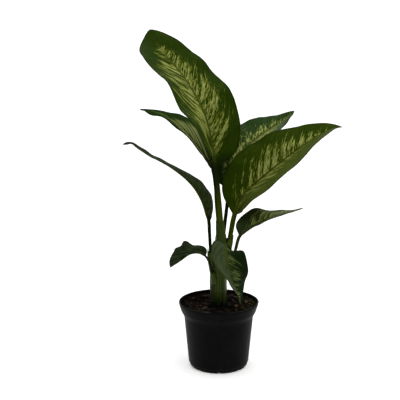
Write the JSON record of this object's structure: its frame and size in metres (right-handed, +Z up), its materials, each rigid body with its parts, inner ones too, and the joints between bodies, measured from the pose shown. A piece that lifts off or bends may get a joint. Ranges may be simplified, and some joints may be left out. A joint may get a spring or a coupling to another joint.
{
  "type": "potted dieffenbachia",
  "caption": "Young dieffenbachia with broad cream-feathered leaves on a short sheathed stem, standing in bark-strewn soil in a round black plastic nursery pot.",
  "frame": {"origin": "middle of the pot's bottom, on the surface that the pot stands on", "axes": "+Z up along the pot's axis; -Y is the front, where the small hanging leaf is; the largest side leaf reaches out to +X"},
  "size_m": [0.3332, 0.2506, 0.5121],
  "materials": {
    "pot": "satin moulded plastic",
    "soil": "loose moist peat and bark",
    "stem": "smooth fleshy skin with fine streaks",
    "leaf": "waxy satin leaf"
  },
  "bodies": {
    "root": {"pot": "pot", "soil": "soil", "stem": "stem", "leaf_top": "leaf", "leaf_back_left": "leaf", "leaf_left": "leaf", "leaf_back_right": "leaf", "leaf_right": "leaf", "leaf_low_right": "leaf", "leaf_front": "leaf", "leaf_low_left": "leaf"}
  },
  "joints": []
}
